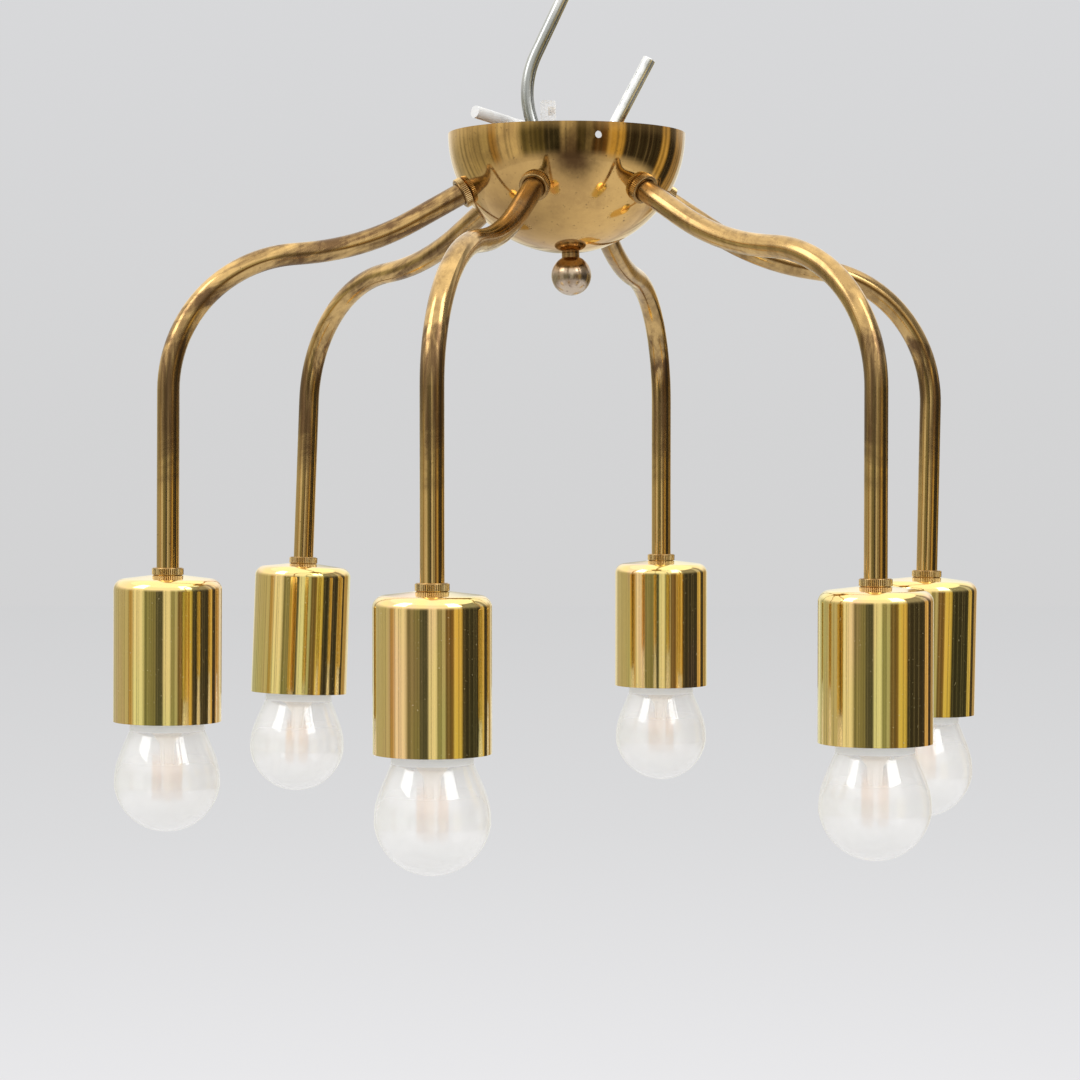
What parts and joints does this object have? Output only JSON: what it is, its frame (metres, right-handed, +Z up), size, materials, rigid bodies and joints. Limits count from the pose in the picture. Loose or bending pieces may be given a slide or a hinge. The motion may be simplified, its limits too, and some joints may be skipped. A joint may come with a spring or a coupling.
{
  "type": "ceiling lamp",
  "caption": "Brass ceiling lamp: an open bowl on a steel hook with curved tube arms, each ending in a cylindrical cup with a screw-in opal bulb.",
  "frame": {"origin": "centre of the bowl's rim, in the plane that meets the ceiling", "axes": "+Z up out of the bowl towards the ceiling, -Y towards the viewer, +X to the viewer's right"},
  "size_m": [0.3987, 0.3968, 0.4859],
  "materials": {
    "polished_brass": "polished brass with a faint warm patina",
    "aged_brass": "drawn brass tube, aged with brown streaks",
    "lacquered_brass": "bright brass under clear lacquer",
    "knurled_brass": "turned and knurled brass",
    "finial_brass": "turned brass, tarnished",
    "zinc_steel": "bright zinc-plated steel wire",
    "bracket_steel": "zinc-plated steel strip and fasteners",
    "holder_moulding": "dark moulded thermoset",
    "contact_brass": "plain brass",
    "opal_glass": "glossy milky glass",
    "white_collar": "smooth white plastic",
    "cap_metal": "bright plated screw cap",
    "clear_nylon": "clear moulded terminal strip",
    "lead_sleeve": "white sleeving",
    "cable_sheath": "smooth white sheath"
  },
  "bodies": {
    "hook": {"hanging_hook": "zinc_steel"},
    "lamp": {"bowl": "polished_brass", "hanger_bracket": "bracket_steel", "hanger_pin": "bracket_steel", "centre_stud": "bracket_steel", "stud_nut": "bracket_steel", "arm_ring_nuts": "knurled_brass", "arm_lock_nuts": "bracket_steel", "cup_collar_nuts": "knurled_brass", "lampholder_shells": "contact_brass", "lampholder_contacts": "contact_brass", "arm_leads": "lead_sleeve", "lead_loom": "lead_sleeve", "terminal_block": "clear_nylon", "terminal_screws": "contact_brass", "supply_cable": "cable_sheath", "arm_tube_1": "aged_brass", "socket_cup_1": "lacquered_brass", "lampholder_1": "holder_moulding", "arm_tube_2": "aged_brass", "socket_cup_2": "lacquered_brass", "lampholder_2": "holder_moulding", "arm_tube_3": "aged_brass", "socket_cup_3": "lacquered_brass", "lampholder_3": "holder_moulding", "arm_tube_4": "aged_brass", "socket_cup_4": "lacquered_brass", "lampholder_4": "holder_moulding", "arm_tube_5": "aged_brass", "socket_cup_5": "lacquered_brass", "lampholder_5": "holder_moulding", "arm_tube_6": "aged_brass", "socket_cup_6": "lacquered_brass", "lampholder_6": "holder_moulding"},
    "finial": {"finial_ball": "finial_brass"},
    "bulb_1_lift": {"bulb_tip_1": "contact_brass"},
    "bulb_1": {"bulb_glass_1": "opal_glass", "bulb_collar_1": "white_collar", "bulb_cap_1": "cap_metal"},
    "bulb_2_lift": {"bulb_tip_2": "contact_brass"},
    "bulb_2": {"bulb_glass_2": "opal_glass", "bulb_collar_2": "white_collar", "bulb_cap_2": "cap_metal"},
    "bulb_3_lift": {"bulb_tip_3": "contact_brass"},
    "bulb_3": {"bulb_glass_3": "opal_glass", "bulb_collar_3": "white_collar", "bulb_cap_3": "cap_metal"},
    "bulb_4_lift": {"bulb_tip_4": "contact_brass"},
    "bulb_4": {"bulb_glass_4": "opal_glass", "bulb_collar_4": "white_collar", "bulb_cap_4": "cap_metal"},
    "bulb_5_lift": {"bulb_tip_5": "contact_brass"},
    "bulb_5": {"bulb_glass_5": "opal_glass", "bulb_collar_5": "white_collar", "bulb_cap_5": "cap_metal"},
    "bulb_6_lift": {"bulb_tip_6": "contact_brass"},
    "bulb_6": {"bulb_glass_6": "opal_glass", "bulb_collar_6": "white_collar", "bulb_cap_6": "cap_metal"}
  },
  "joints": [
    {"name": "lamp_swing", "type": "hinge", "parent": "hook", "child": "lamp", "pos_m": [0.0007, 0, -0.02113], "axis": [0, 1, 0], "range_deg": [-20, 20]},
    {"name": "finial_turn", "type": "hinge", "parent": "lamp", "child": "finial", "pos_m": [0.00215, 0, -0.06486], "axis": [-0.0332, 0, 0.9995], "continuous": true},
    {"name": "bulb_1_travel", "type": "slide", "parent": "lamp", "child": "bulb_1_lift", "axis": [0, 0, 1], "range_m": [-0.022, 0]},
    {"name": "bulb_1_turn", "type": "hinge", "parent": "bulb_1_lift", "child": "bulb_1", "pos_m": [-0.05545, -0.17373, -0.2471], "axis": [0, 0, 1], "range_deg": [-2160, 0]},
    {"name": "bulb_2_travel", "type": "slide", "parent": "lamp", "child": "bulb_2_lift", "axis": [0, 0, 1], "range_m": [-0.022, 0]},
    {"name": "bulb_2_turn", "type": "hinge", "parent": "bulb_2_lift", "child": "bulb_2", "pos_m": [0.12737, -0.13052, -0.2471], "axis": [0, 0, 1], "range_deg": [-2160, 0]},
    {"name": "bulb_3_travel", "type": "slide", "parent": "lamp", "child": "bulb_3_lift", "axis": [0.0185, 0.005, 0.9998], "range_m": [-0.022, 0]},
    {"name": "bulb_3_turn", "type": "hinge", "parent": "bulb_3_lift", "child": "bulb_3", "pos_m": [0.17154, 0.04596, -0.25056], "axis": [0.0185, 0.005, 0.9998], "range_deg": [-2160, 0]},
    {"name": "bulb_4_travel", "type": "slide", "parent": "lamp", "child": "bulb_4_lift", "axis": [0, 0, 1], "range_m": [-0.022, 0]},
    {"name": "bulb_4_turn", "type": "hinge", "parent": "bulb_4_lift", "child": "bulb_4", "pos_m": [0.05103, 0.17508, -0.2471], "axis": [0, 0, 1], "range_deg": [-2160, 0]},
    {"name": "bulb_5_travel", "type": "slide", "parent": "lamp", "child": "bulb_5_lift", "axis": [0.0348, 0.0336, 0.9988], "range_m": [-0.022, 0]},
    {"name": "bulb_5_turn", "type": "hinge", "parent": "bulb_5_lift", "child": "bulb_5", "pos_m": [-0.13343, 0.12464, -0.24693], "axis": [0.0348, 0.0336, 0.9988], "range_deg": [-2160, 0]},
    {"name": "bulb_6_travel", "type": "slide", "parent": "lamp", "child": "bulb_6_lift", "axis": [0.0068, 0.0017, 1], "range_m": [-0.022, 0]},
    {"name": "bulb_6_turn", "type": "hinge", "parent": "bulb_6_lift", "child": "bulb_6", "pos_m": [-0.17838, -0.04547, -0.24582], "axis": [0.0068, 0.0017, 1], "range_deg": [-2160, 0]}
  ],
  "couplings": [
    {"joint": "bulb_1_travel", "follows": "bulb_1_turn", "m_per_rad": 0.00057773},
    {"joint": "bulb_2_travel", "follows": "bulb_2_turn", "m_per_rad": 0.00057773},
    {"joint": "bulb_3_travel", "follows": "bulb_3_turn", "m_per_rad": 0.00057773},
    {"joint": "bulb_4_travel", "follows": "bulb_4_turn", "m_per_rad": 0.00057773},
    {"joint": "bulb_5_travel", "follows": "bulb_5_turn", "m_per_rad": 0.00057773},
    {"joint": "bulb_6_travel", "follows": "bulb_6_turn", "m_per_rad": 0.00057773}
  ]
}
